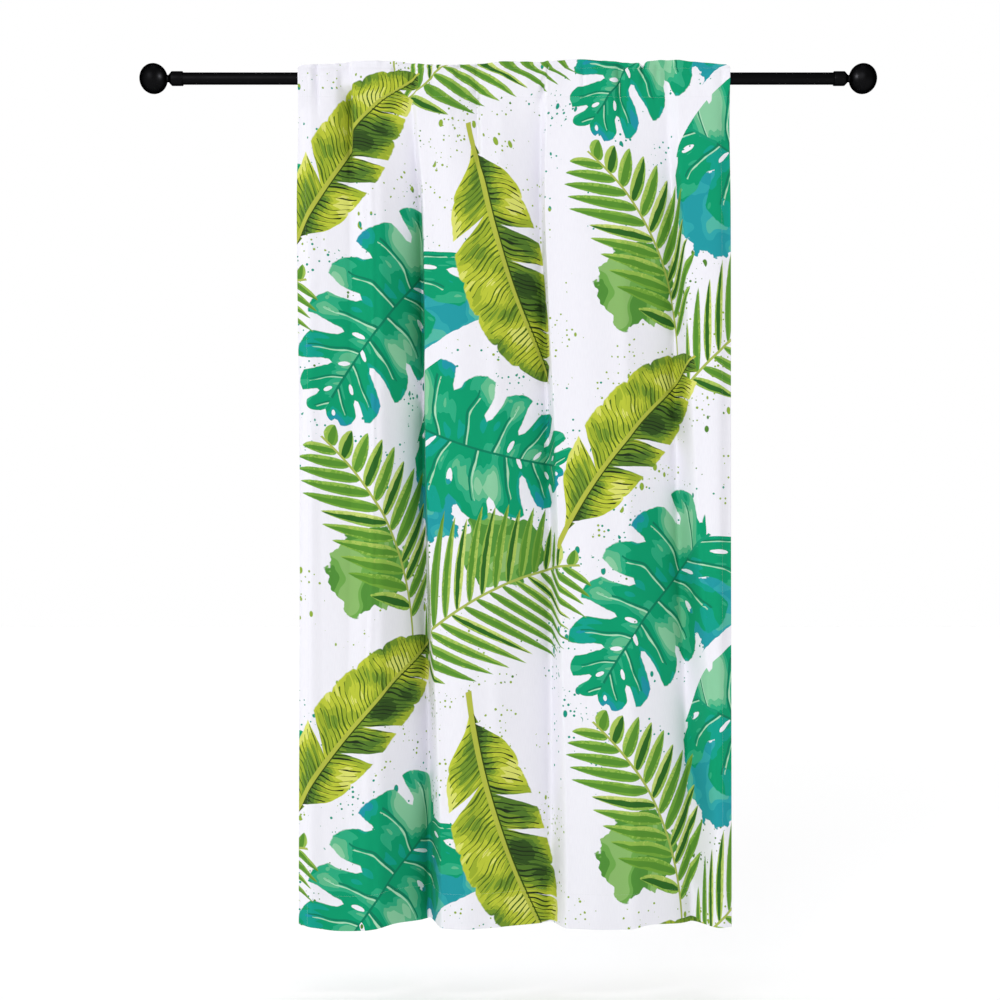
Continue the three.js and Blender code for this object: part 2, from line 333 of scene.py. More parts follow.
def fold_depth(x, z):
    """How far back the folds carry each column from the crests' front."""
    back = np.zeros_like(x)
    for i, ((stretch, _), crest) in enumerate(zip(COLUMNS, crest_share())):
        if stretch.fold:
            back[:, i] = at_height(stretch.fold.depth, z[:, i]) * (1 - crest)
    left, right = at_height(LEFT_EDGE, z), at_height(RIGHT_EDGE, z)
    starts = [left] + [at_height(fold.edge, z) for fold in FOLDS]
    ends = [at_height(fold.start, z) for fold in FOLDS] + [right]
    swells = [LEFT_CREST_SWELL] + [fold.swell for fold in FOLDS]
    for start, end, swell in zip(starts, ends, swells):
        back -= swell * np.sin(math.pi * np.clip((x - start) / (end - start), 0, 1)) ** 2
    to_edge = np.minimum(x - left, right - x)
    return back + EDGE_CURL * (1 - smooth(to_edge / EDGE_CURL_WIDTH))


def cloth_below(x, z):
    """Where the cloth hangs under the pocket's lower seam, behind the rod's centre or in front of it."""
    under = LOWER_SEAM - z
    opened = smooth(under / OPEN_BELOW)
    fade = 1 - smooth(under / PUCKER_BELOW)
    hanging = fold_depth(x, z) - at_height(CREST_FRONT, z) - pucker(x) * fade
    seam = seam_forward()[None, :] + SEAM_LEAN
    return opened * hanging - (1 - opened) * seam + creases(x, z)


def seam_forward():
    """How much further forward the crests already stand where the cloth passes over the rod."""
    return CREST_AT_ROD * crest_share()


def header_edge(x):
    """The height of the header's edge at places x along the rod."""
    to_side = np.minimum(x - x[0], x[-1] - x)
    corner = 1 - np.clip(to_side / HEADER_CORNER, 0, 1)
    rounded = HEADER_CORNER * (1 - np.sqrt(1 - corner**2))
    notch = HEADER_NOTCH.height * bell(x, HEADER_NOTCH.at, HEADER_NOTCH.width)
    return HEADER_EDGE + through(*HEADER_WAVE, x) - rounded - notch


BODY_LEVELS = 106
BODY_CROWDING = 1.28  # more than 1 puts the levels closer together under the seam
HEM_LEVEL_GAP = 0.003  # the least height between two levels at the hem


def body_shares():
    """Levels of the hanging cloth, hem first, as shares of the way from the lower seam to the hem."""
    shares = list((np.arange(1, BODY_LEVELS + 1) / BODY_LEVELS) ** BODY_CROWDING)
    drop = LOWER_SEAM - HEM_LINE
    special = [
        1 - EDGE_ROUNDING / drop,
        1 - (BOTTOM_HEM - HEM_STEP) / drop,
        1 - (BOTTOM_HEM + HEM_STEP) / drop,
    ]
    near = HEM_LEVEL_GAP / drop
    shares = [s for s in shares if s == 1 or all(abs(s - t) > near for t in special)]
    return np.array(sorted(shares + special, reverse=True))


POCKET_LEVELS = (11, 9, 3)  # levels under the rod, round it and above it


def pocket_layer(side):
    """One layer of the pocket's inner face, from the lower seam to the upper one: for each level its
    distance from the middle plane, its height, and how much of the puckers and of the seam it has."""
    radius = ROD_RADIUS + POCKET_EASE
    upper_seam = radius / math.sin(GRIP_ANGLE)
    leave = math.acos(radius / -LOWER_SEAM) - math.pi / 2
    # the tangent from the leaning upper seam to the rod's circle
    reach = math.hypot(HEADER_LEAN, upper_seam)
    seam_angle = math.atan2(upper_seam, -side * HEADER_LEAN)
    grip = seam_angle - math.acos(radius / reach)
    touch = (radius * math.cos(leave), radius * math.sin(leave))
    rows = []
    below, around, above = POCKET_LEVELS
    for share in np.arange(below) / below:
        rows.append((touch[0] * share, LOWER_SEAM + (touch[1] - LOWER_SEAM) * share, share, 1 - share))
    for share in np.arange(around + 1) / around:
        angle = leave + (grip - leave) * share
        rows.append((radius * math.cos(angle), radius * math.sin(angle), math.cos(angle), 0.0))
    end, seam = rows[-1], (-side * HEADER_LEAN, upper_seam)
    for share in np.arange(1, above + 1) / above:
        rows.append((end[0] + (seam[0] - end[0]) * share, end[1] + (seam[1] - end[1]) * share,
                     end[2] * (1 - share), share))
    return rows


HEADER_SHARES = (0.2, 0.4, 0.6, 0.8, 1.0)  # the header's levels, as shares of its height
HEADER_TIP = 0.2  # how much further the header's edge leans than its seam does
RUFFLE = 1.2  # how much more a pucker stands out at the header's edge
RUFFLE_MEAN = 0.0022  # the pucker height at which the edge stays in line
RUFFLE_RISE = 1.3  # the power by which that grows from the seam to the edge
SOFT_LIFT = 0.0012  # how gently the cloth settles on the rod
FREE_UNDER_ROD = 0.02  # how far back the seam under the rod may lie
FREE_SHARE = 0.8  # the share of the way from the seam to the rod over which it is held again
SEAM_ROUNDING = 0.012


def cloth_grid():
    """The printed face of the sheet as points [level, column], from the hem up the front, over the
    header and down the back of the pocket, with its outward normals and the number of body levels."""
    shares = body_shares()
    seam_x = level_places(LOWER_SEAM)
    hem_x = level_places(HEM_LINE)
    hem_z = HEM_LINE + through(*HEM_WAVE, hem_x)
    z = LOWER_SEAM + (hem_z - LOWER_SEAM)[None, :] * shares[:, None]
    x = column_places(z)
    body = np.stack([x, cloth_below(x, z) - CLOTH / 2, z], axis=2)
    rib = pucker(seam_x)
    forward = seam_forward()
    edge_z = header_edge(seam_x)

    def row(y, height):
        return np.stack([seam_x, y, np.broadcast_to(height, seam_x.shape)], axis=1)

    front = []
    for out, height, puckered, seam in pocket_layer(-1):
        lift = rib * puckered + forward - creases(seam_x, np.full_like(seam_x, height))
        least = 0.0
        if height < -ROD_RADIUS / 2:
            lift += SEAM_LEAN * seam
            least = -FREE_UNDER_ROD * (1 - smooth((1 - seam) / FREE_SHARE))
        above = lift - least
        lift = least + (above + np.sqrt(above**2 + SOFT_LIFT**2)) / 2
        joined = np.clip(1 - (height - LOWER_SEAM) / SEAM_ROUNDING, 0, 1)
        front.append(row(-out - CLOTH * (1 - joined / 2) - lift, height))
    back = []
    for out, height, puckered, seam in pocket_layer(1):
        lean = SEAM_LEAN if height < 0 else 0.0
        set_back = creases(seam_x, np.full_like(seam_x, height))
        back.append(row(out + CLOTH + rib * puckered - (forward + lean - set_back) * seam, height))
    upper_seam = pocket_layer(1)[-1][1]
    ruffle = RUFFLE * (rib - RUFFLE_MEAN)
    front_up, back_up = [], []
    for share in HEADER_SHARES:
        height = upper_seam + (edge_z - upper_seam) * share
        middle = -HEADER_LEAN * (1 + HEADER_TIP * share) - forward - ruffle * share**RUFFLE_RISE
        middle = middle + creases(seam_x, height)
        front_up.append(row(middle - CLOTH, height))
        back_up.append(row(middle + CLOTH, height))
    top = []
    for angle in np.radians((45, 90, 135)):
        y = -HEADER_LEAN * (1 + HEADER_TIP) - forward - ruffle - CLOTH * math.cos(angle)
        top.append(row(y, edge_z + CLOTH * math.sin(angle)))
    points = np.concatenate([body, np.array(front + front_up + top + back_up[::-1] + back[::-1])])

    across = np.gradient(points, axis=1)
    along = np.gradient(points, axis=0)
    normals = np.cross(across, along)
    normals /= np.linalg.norm(normals, axis=2, keepdims=True)
    return points, normals, len(shares)


def flat_places(points, body_levels):
    """Where every point of the face lies on the flat cloth: across from the left edge, and up from
    the header's edge."""
    step = np.linalg.norm(np.diff(points, axis=1), axis=2)
    across = np.concatenate([np.zeros((len(points), 1)), np.cumsum(step, axis=1)], axis=1)
    across *= FLAT_WIDTH / across[:, -1:]
    rise = np.linalg.norm(np.diff(points, axis=0), axis=2).mean(axis=1)
    up = np.concatenate([[0], np.cumsum(rise)])
    header_level = body_levels + len(pocket_layer(-1)) + len(HEADER_SHARES) + 1
    up -= up[header_level]
    return across, np.repeat(up[:, None], points.shape[1], axis=1)


# The sheet's two faces and its normals as grids of points, and how many levels lie under the pocket
Sheet = namedtuple("Sheet", "face back normals body_levels")


def make_curtain():
    """The sheet as a closed mesh, with the places of its points on the flat cloth and its grids."""
    points, normals, body_levels = cloth_grid()
    levels, columns = points.shape[:2]
    drop = LOWER_SEAM - HEM_LINE
    in_bottom_hem = np.zeros(levels, bool)
    in_bottom_hem[:body_levels] = (1 - body_shares()) * drop < BOTTOM_HEM
    in_side_hem = np.zeros(columns, bool)
    in_side_hem[:SIDE_HEM_COLUMNS] = True
    in_side_hem[-SIDE_HEM_COLUMNS:] = True
    turned = in_bottom_hem[:, None] | in_side_hem[None, :]
    turned[body_levels:] = False
    thickness = CLOTH + HEM_EXTRA * turned
    inner = points - normals * thickness[:, :, None]

    # the hems turn the printed face over to the back, so its print runs on there the other way
    across, up = flat_places(points, body_levels)
    mirrored = np.where(across < FLAT_WIDTH / 2, -across, 2 * FLAT_WIDTH - across)
    back_across = np.where(in_side_hem[None, :], mirrored, across)
    back_up = np.where(in_bottom_hem[:, None], 2 * up[0, 0] - up, up)
    grids = ((across, up), (back_across, back_up))
    places = np.concatenate([np.stack(grid, axis=2).reshape(-1, 2) for grid in grids])
    verts = np.concatenate([points.reshape(-1, 3), inner.reshape(-1, 3)])
    index = np.arange(levels * columns).reshape(levels, columns)
    inside = index + levels * columns

    sides = (
        (index[:-1, :-1], index[:-1, 1:], index[1:, 1:], index[1:, :-1]),
        (inside[:-1, 1:], inside[:-1, :-1], inside[1:, :-1], inside[1:, 1:]),
        (index[0, 1:], index[0, :-1], inside[0, :-1], inside[0, 1:]),
        (index[-1, :-1], index[-1, 1:], inside[-1, 1:], inside[-1, :-1]),
        (index[:-1, 0], index[1:, 0], inside[1:, 0], inside[:-1, 0]),
        (index[1:, -1], index[:-1, -1], inside[:-1, -1], inside[1:, -1]),
    )
    faces = np.concatenate([np.stack(corners, axis=-1).reshape(-1, 4) for corners in sides])
    # the second material, plain white, is only on the back and not on its turned hems
    plain = ~(turned[:-1, 1:] & turned[:-1, :-1] & turned[1:, 1:] & turned[1:, :-1]).reshape(-1)
    materials = np.zeros(len(faces), int)
    materials[plain.size:2 * plain.size] = plain

    mesh = smooth_mesh("curtain_cloth", verts, faces)
    mesh.polygons.foreach_set("material_index", materials)
    uv = mesh.uv_layers.new(name="cloth")
    loops = np.zeros(len(mesh.loops), np.int32)
    mesh.loops.foreach_get("vertex_index", loops)
    uv.data.foreach_set("uv", places[loops].reshape(-1))
    return into_scene("curtain_cloth", mesh), grids, Sheet(points, inner, normals, body_levels)


# Stitches: short threads that dip into the cloth at both ends
STITCH_LENGTH = 0.0028
STITCH_STEP = 0.0037
STITCH_SIDES = 6
HEM_STITCH_INSET = 0.003  # from the end of the bottom hem to its stitches
SIDE_STITCH_INSET = 0.0025
# Ways over the sheet's grid that stitches follow, counted in its columns or levels: where a way
# starts, how far before the number of them it ends, and how many points it is worked out at
Way = namedtuple("Way", "start before_end points")
ACROSS = Way(0.6, 1.6, 1200)
UP_BODY = Way(0.15, 1.2, 1600)
UP_ALL = Way(0.15, 1.3, 2000)
OVER_SEAM = 0.3  # levels from the lower seam up to its stitches
# The shape of one stitch: place along its half length, height over the cloth and radius
STITCH_RINGS = ((-1.0, -0.00018, 0.0), (-0.6, 0.00002, 0.00011), (0.0, 0.00004, 0.00013),
                (0.6, 0.00002, 0.00011), (1.0, -0.00018, 0.0))


def on_grid(grid, levels, columns):
    """Points of a grid at levels and columns that may lie between its own."""
    low, left = np.floor(levels).astype(int), np.floor(columns).astype(int)
    low, left = np.minimum(low, grid.shape[0] - 2), np.minimum(left, grid.shape[1] - 2)
    up, right = (levels - low)[:, None], (columns - left)[:, None]
    near = grid[low, left] * (1 - right) + grid[low, left + 1] * right
    far = grid[low + 1, left] * (1 - right) + grid[low + 1, left + 1] * right
    return near * (1 - up) + far * up


def evenly(grid, levels, columns):
    """The same way over a grid in steps of one stitch."""
    way = on_grid(grid, levels, columns)
    length = np.concatenate([[0], np.cumsum(np.linalg.norm(np.diff(way, axis=0), axis=1))])
    places = np.arange(STITCH_STEP, length[-1] - STITCH_STEP / 2, STITCH_STEP)
    return np.interp(places, length, levels), np.interp(places, length, columns)


def stitches_along(grid, normals, side, levels, columns):
    """The vertices of one row of stitches on a face, whose outside is at side times its normals."""
    levels, columns = evenly(grid, levels, columns)
    middle = on_grid(grid, levels, columns)
    out = side * on_grid(normals, levels, columns)
    out /= np.linalg.norm(out, axis=1, keepdims=True)
    along = np.gradient(middle, axis=0)
    along /= np.linalg.norm(along, axis=1, keepdims=True)
    across = np.cross(along, out)
    verts = []
    for place, height, radius in STITCH_RINGS:
        ring_middle = middle + along * place * STITCH_LENGTH / 2 + out * height
        if radius == 0:
            verts.append(ring_middle)
            continue
        for k in range(STITCH_SIDES):
            angle = 2 * math.pi * k / STITCH_SIDES
            verts.append(ring_middle + radius * (across * math.cos(angle) + out * math.sin(angle)))
    return np.stack(verts, axis=1)


def stitch_faces():
    """The faces of one stitch, as numbers of its vertices."""
    sides = STITCH_SIDES
    first_ring, middle_ring, last_ring, tip = 1, 1 + sides, 1 + 2 * sides, 1 + 3 * sides
    faces = []
    for k in range(sides):
        after = (k + 1) % sides
        faces.append((0, first_ring + k, first_ring + after))
        for near, far in ((first_ring, middle_ring), (middle_ring, last_ring)):
            faces.append((near + k, far + k, far + after))
            faces.append((near + k, far + after, near + after))
        faces.append((last_ring + k, tip, last_ring + after))
    return np.array(faces)


def make_stitches(sheet):
    """The stitches of the pocket's two seams, the bottom hem and the side hems, on both faces."""
    levels, columns = sheet.face.shape[:2]
    layer = len(pocket_layer(-1))
    drop = LOWER_SEAM - HEM_LINE
    from_hem = (1 - body_shares()) * drop
    hem_line = float(np.interp(BOTTOM_HEM - HEM_STITCH_INSET, from_hem, np.arange(len(from_hem))))
    hem_share = (SIDE_HEM - SIDE_STITCH_INSET - EDGE_ROUNDING) / (SIDE_HEM - HEM_STEP - EDGE_ROUNDING)
    side_line = 1 + HEM_COLUMNS * hem_share
    width, body, whole = (np.linspace(way.start, count - way.before_end, way.points) for way, count in
                          ((ACROSS, columns), (UP_BODY, sheet.body_levels), (UP_ALL, levels)))
    # each row's levels and columns: one of them is a way, the other stays the same
    seams = (
        ("face", sheet.body_levels + OVER_SEAM, width),
        ("face", levels - UP_ALL.before_end, width),
        ("face", sheet.body_levels + layer - 1, width),
        ("face", levels - layer, width),
        ("face", hem_line, width),
        ("back", hem_line, width),
        ("face", whole, side_line),
        ("face", whole, columns - 1 - side_line),
        ("back", body, side_line),
        ("back", body, columns - 1 - side_line),
    )
    rows = []
    for side, up, over in seams:
        up, over = np.broadcast_arrays(np.asarray(up, float), np.asarray(over, float))
        grid, outside = (sheet.face, 1) if side == "face" else (sheet.back, -1)
        rows.append(stitches_along(grid, sheet.normals, outside, up, over))
    stitches = np.concatenate(rows)
    count, corners = stitches.shape[:2]
    faces = (stitch_faces()[None, :, :] + np.arange(count)[:, None, None] * corners).reshape(-1, 3)
    return into_scene("seam_stitches", smooth_mesh("seam_stitches", stitches.reshape(-1, 3), faces))


# The print: ordinary tropical leaves of this script's own drawing, in an own half-drop repeat
REPEAT_WIDTH = 0.820
REPEAT_HEIGHT = 1.400
# Each row is one leaf in the repeat: its kind, its middle in metres right and down, the way it points
# in degrees clockwise from up, its length, which side is its left one, and how far its midrib bows.
Leaf = namedtuple("Leaf", "kind x y turn length side bow")
LEAVES = tuple(Leaf(*row) for row in (
    ("split_leaf", 0.200, 0.690, 218, 0.440, 1, 0.05),
    ("split_leaf", 0.600, 0.950, 104, 0.420, -1, -0.06),
    ("paddle_leaf", 0.640, 0.520, 160, 0.620, 1, 0.05),
    ("paddle_leaf", 0.190, 0.230, 42, 0.560, -1, 0.07),
    ("broad_frond", 0.170, 1.160, 334, 0.520, -1, -0.09),
    ("narrow_frond", 0.590, 1.380, 62, 0.580, 1, -0.12),
))
# How far a leaf of each kind reaches to each side of its midrib, in lengths of the leaf
LEAF_REACH = {"split_leaf": 0.48, "paddle_leaf": 0.24, "broad_frond": 0.36, "narrow_frond": 0.40}
LEAF_END_REACH = 0.65  # the same from the middle towards its tip and its stalk


def repeated(leaf):
    """The places of a leaf's middle on the flat cloth and a little past it, one for each repeat."""
    for column in range(-1, 4):
        drop = REPEAT_HEIGHT / 2 * (column % 2)
        for row in range(-2, 4):
            yield leaf.x + column * REPEAT_WIDTH, -(leaf.y + drop + row * REPEAT_HEIGHT)


def leaf_fields(kind, across, up):
    """For a grid of places on the cloth: how far each lies along and across the nearest leaf of a
    kind, in lengths of that leaf, and how far it is from where the next leaf of that kind is nearer."""
    nearest = np.full(across.shape, np.inf)
    second = np.full(across.shape, np.inf)
    along_leaf, across_leaf = np.zeros(across.shape), np.zeros(across.shape)
    for leaf in LEAVES:
        if leaf.kind != kind:
            continue
        turn = math.radians(leaf.turn)
        for middle_x, middle_y in repeated(leaf):
            x, y = (across - middle_x) / leaf.length, (up - middle_y) / leaf.length
            s = 0.5 + x * math.sin(turn) + y * math.cos(turn)
            t = leaf.side * (x * math.cos(turn) - y * math.sin(turn))
            t = t - leaf.bow * 4 * s * (1 - s)
            away = np.hypot((s - 0.5) / LEAF_END_REACH, t / LEAF_REACH[kind])
            closer = away < nearest
            second = np.where(closer, nearest, np.minimum(second, away))
            nearest = np.where(closer, away, nearest)
            along_leaf = np.where(closer, s, along_leaf)
            across_leaf = np.where(closer, t, across_leaf)
    return np.stack([along_leaf, across_leaf, np.minimum(second - nearest, 1.0)], axis=2)


def lay_print(mesh, grids):
    """Gives each vertex its place on the nearest leaf of each kind. grids are the vertices' places on
    the flat cloth as (across, up), one grid after the other in the mesh's order."""
    for kind in LEAF_REACH:
        values = np.concatenate([leaf_fields(kind, *grid).reshape(-1, 3) for grid in grids])
        attribute = mesh.attributes.new(kind, "FLOAT_VECTOR", "POINT")
        attribute.data.foreach_set("vector", values.reshape(-1))


# Materials

def set_inputs(tree, node, inputs):
    """Gives each named input of a node its number or colour, or a link from a socket or field."""
    for name, value in inputs.items():
        value = getattr(value, "socket", value)
        if isinstance(value, bpy.types.NodeSocket):
            tree.links.new(value, node.inputs[name])
        else:
            node.inputs[name].default_value = value


def add_node(tree, kind, settings, inputs):
    node = tree.nodes.new("ShaderNode" + kind)
    for name, value in settings.items():
        setattr(node, name, value)
    set_inputs(tree, node, inputs)
    return node


def new_material(name):
    """A material with its node tree and its shader."""
    material = bpy.data.materials.new(name)
    material.use_nodes = True
    tree = material.node_tree
    return material, tree, tree.nodes["Principled BSDF"]


def rgb(text):
    """A colour written as six hexadecimal digits, as Blender's linear numbers."""
    values = [int(text[i:i + 2], 16) / 255 for i in (0, 2, 4)]
    return (*(v / 12.92 if v <= 0.04045 else ((v + 0.055) / 1.055) ** 2.4 for v in values), 1)


class Field:
    """A number at every point of a material. Its operators and methods add the nodes."""

    def __init__(self, tree, socket):
        self.tree, self.socket = tree, socket

    def through_node(self, kind, settings, inputs, output):
        node = add_node(self.tree, kind, settings, inputs)
        return Field(self.tree, node.outputs[output])

    def math(self, operation, *others):
        return self.through_node("Math", {"operation": operation}, dict(enumerate((self,) + others)), 0)

    def __rsub__(self, other):
        return self.math("MULTIPLY_ADD", -1.0, other)

    def step(self, low, high):
        """A soft step from 0 at low to 1 at high."""
        return self.through_node("MapRange", {"interpolation_type": "SMOOTHSTEP"},
                                 {"Value": self, "From Min": low, "From Max": high}, "Result")

    def chance(self):
        """A different number from 0 to 1 for each value."""
        return self.through_node("TexWhiteNoise", {"noise_dimensions": "1D"}, {"W": self}, "Value")

    def curve(self, points):
        """The value of a curve through points (from, to)."""
        node = add_node(self.tree, "FloatCurve", {}, {"Value": self})
        curve = node.mapping.curves[0]
        node.mapping.use_clip = False
        curve.points[0].location = points[0]
        curve.points[1].location = points[-1]
        for point in points[1:-1]:
            curve.points.new(*point)
        node.mapping.update()
        return Field(self.tree, node.outputs["Value"])


# The other operators and methods of a field, with the math node that each adds. size leaves out the
# sign, whole rounds down and part is what is left over. above and below are 1 or 0.
FIELD_MATH = {
    "__add__": "ADD", "__sub__": "SUBTRACT", "__mul__": "MULTIPLY", "__truediv__": "DIVIDE",
    "__pow__": "POWER", "size": "ABSOLUTE", "whole": "FLOOR", "part": "FRACT", "least": "MINIMUM",
    "most": "MAXIMUM", "above": "GREATER_THAN", "below": "LESS_THAN",
}
for method, operation in FIELD_MATH.items():
    setattr(Field, method, partialmethod(Field.math, operation))


LEAF_MARGIN = 0.12  # how near the next leaf's area a leaf may be drawn
SLUB_SCALE = 700.0
SLUB_STRETCH = 0.06
SLUB_LEVELS = (0.35, 0.65)


class Ink:
    """Lays the cloth's own white and the print's colours over each other in one material."""

    def __init__(self, tree):
        self.tree = tree
        place = add_node(tree, "UVMap", {"uv_map": "cloth"}, {})
        self.across, self.up, _ = self.split(place.outputs["UV"])
        self.slubs = self.noise(self.across, self.up * SLUB_STRETCH, SLUB_SCALE)
        self.colour = self.mix(self.slubs.step(*SLUB_LEVELS), WHITE, SLUB_WHITE)

    def split(self, vector):
        node = add_node(self.tree, "SeparateXYZ", {}, {0: vector})
        return [Field(self.tree, output) for output in node.outputs]

    def leaf(self, kind):
        """The place along and across the nearest leaf of a kind, and how surely it is that leaf's."""
        node = add_node(self.tree, "Attribute", {"attribute_name": kind}, {})
        along, across, margin = self.split(node.outputs["Vector"])
        return along, across, margin - LEAF_MARGIN

    def leaf_sides(self, kind):
        """The same, with how far the place is from the midrib and 1 on the right side of it."""
        along, across, sure = self.leaf(kind)
        return along, across, sure, across.size(), across.above(0.0)

    def noise(self, x, y, scale, detail=1.0):
        """Soft noise from about 0.2 to 0.8."""
        place = add_node(self.tree, "CombineXYZ", {}, {"X": x, "Y": y}).outputs[0]
        node = add_node(self.tree, "TexNoise", {"noise_dimensions": "2D"},
                        {"Vector": place, "Scale": scale, "Detail": detail})
        return Field(self.tree, node.outputs["Fac"])

    def cells(self, size, squash):
        """Dots in uneven cells of a size in metres: how far from the dot's middle, in cells, and two
        chances that are the same all over a cell."""
        place = add_node(self.tree, "CombineXYZ", {}, {"X": self.across, "Y": self.up * squash}).outputs[0]
        node = add_node(self.tree, "TexVoronoi", {"voronoi_dimensions": "2D"},
                        {"Vector": place, "Scale": 1 / size})
        first, second, _ = self.split(node.outputs["Color"])
        return Field(self.tree, node.outputs["Distance"]), first, second

    def tones(self, value, steps):
        """Flat tones, each from one level of value up to the next, as (level, colour)."""
        node = add_node(self.tree, "ValToRGB", {}, {"Fac": value})
        node.color_ramp.interpolation = "CONSTANT"
        elements = node.color_ramp.elements
        while len(elements) < len(steps):
            elements.new(1.0)
        for element, (level, colour) in zip(elements, steps):
            element.position = level
            element.color = rgb(colour)
        return node.outputs["Color"]

    def mix(self, amount, below, above):
        below, above = (rgb(c) if isinstance(c, str) else c for c in (below, above))
        node = add_node(self.tree, "Mix", {"data_type": "RGBA"}, {0: amount, 6: below, 7: above})
        return node.outputs[2]

    def lay(self, amount, colour):
        """Prints a colour over what lies below where amount is 1."""
        self.colour = self.mix(amount, self.colour, colour)


# The outline of a leaf is how far it reaches to its side, as (place along the leaf, reach), in lengths
# of the leaf. The places are counted from a little before its base, so that none is less than 0.
# Tones are flat paint, as (level, colour).
SPLIT_LEAF_START = 0.2
SPLIT_LEAF_OUTLINE = ((0.05, 0.0), (0.09, 0.20), (0.18, 0.36), (0.36, 0.43), (0.6, 0.40),
                      (0.82, 0.31), (1.02, 0.18), (1.15, 0.08), (1.2, 0.0))
SPLIT_LEAF_TONES = ((0.0, "1b8f9f"), (0.325, "0c9a86"), (0.40, "029669"), (0.52, "2aa57b"),
                    (0.575, "5cb488"), (0.64, "86c49c"))
FINGERS = 6.2  # of a split leaf, in the length of the leaf
OTHER_LEAF_START = 0.1
PADDLE_LEAF_OUTLINE = ((0.02, 0.0), (0.10, 0.03), (0.16, 0.12), (0.3, 0.165), (0.6, 0.180),
                       (0.82, 0.145), (0.98, 0.070), (1.06, 0.0))
PADDLE_LEAF_TONES = ((0.0, "33501e"), (0.36, "52762a"), (0.44, "6f8f2c"), (0.51, "98ab30"),
                     (0.585, "b6c13a"), (0.69, "d3d76a"))
FLAPS = 7.0  # between the tears of a paddle leaf
SIDE_VEINS = 44.0

# The feathery leaves: how many leaflets, how much they lean towards the tip, the outline, how much of
# their space they fill, and their tones
Frond = namedtuple("Frond", "kind leaflets lean outline fill tones")
FRONDS = (
    Frond("narrow_frond", 17.0, 0.55,
          ((0.0, 0.06), (0.15, 0.22), (0.4, 0.36), (0.75, 0.30), (1.0, 0.13), (1.1, 0.05)), 0.85,
          ((0.0, "6f9a3a"), (0.35, "8db04a"), (0.6, "a5bf58"), (0.8, "c0d070"))),
    Frond("broad_frond", 12.0, 0.70,
          ((0.0, 0.08), (0.15, 0.19), (0.4, 0.27), (0.75, 0.23), (1.0, 0.12), (1.1, 0.06)), 1.05,
          ((0.0, "6f9f38"), (0.35, "8cb34a"), (0.6, "a3bd57"), (0.8, "c0cf72"))),
)

# Loose washes of paint behind the leaves: the middle along and across the leaf, size and tones
Blot = namedtuple("Blot", "kind along across size tones")
BLOTS = (
    Blot("broad_frond", 0.34, 0.17, 0.20, ((0.0, "4f8a36"), (0.5, "6ba24a"), (0.6, "86b266"))),
    Blot("narrow_frond", 0.66, -0.15, 0.17, ((0.0, "4f8a36"), (0.5, "6ba24a"), (0.6, "8cb56c"))),
    Blot("split_leaf", 0.12, -0.40, 0.25, ((0.0, "1f949d"), (0.5, "2c9fa4"), (0.62, "4fb09d"))),
)

# Splatter: its colour by each kind of leaf, and the cells that hold its drops, small and large, with
# their size in metres, how much they are squashed, the largest drop and the share that hold one
SPLATTER = (("narrow_frond", "4f7f2c"), ("paddle_leaf", "8aa838"), ("split_leaf", "14907a"))
SPLATTER_REACH = 0.66  # how far it goes beyond the middle of a leaf, in lengths of the leaf
Drops = namedtuple("Drops", "cell squash largest share")
DROPS = (Drops(0.013, 1.0, 0.22, 0.62), Drops(0.030, 0.6, 0.18, 0.46))


def splatter(ink, kind, colour):
    """Flicked drops of paint round the leaves of one kind."""
    along, across, sure = ink.leaf(kind)
    away = (((along - 0.5) / SPLATTER_REACH) ** 2.0 + (across / LEAF_REACH[kind]) ** 2.0) ** 0.5
    near = (1.62 - away).step(0.0, 0.75) * (away - 0.45).step(0.0, 0.4) * sure.above(0.0)
    clumps = (ink.noise(ink.across, ink.up, 11.0) - 0.42).step(0.0, 0.2)
    for drops in DROPS:
        distance, first, second = ink.cells(drops.cell, drops.squash)
        drop = (second * drops.largest + 0.05 - distance).step(0.0, 0.05)
        ink.lay(drop * first.below(near * clumps * drops.share), colour)


def wash(ink, blot):
    along, across, sure = ink.leaf(blot.kind)
    away = ((along - blot.along) ** 2.0 + (across - blot.across) ** 2.0) ** 0.5 / blot.size
    edge = ink.noise(along, across, 9.0, 3.0)
    inside = (1.35 - away - edge * 0.75).least(sure * 2.5 - edge * 0.25).step(0.0, 0.025)
    ink.lay(inside, ink.tones(ink.noise(along, across, 6.0), blot.tones))


def stem(along, half_width, soft, start, end):
    """A line along the middle of a leaf, from start to end. half_width is less the way from it."""
    return half_width.step(0.0, soft) * along.above(start) * along.below(end)


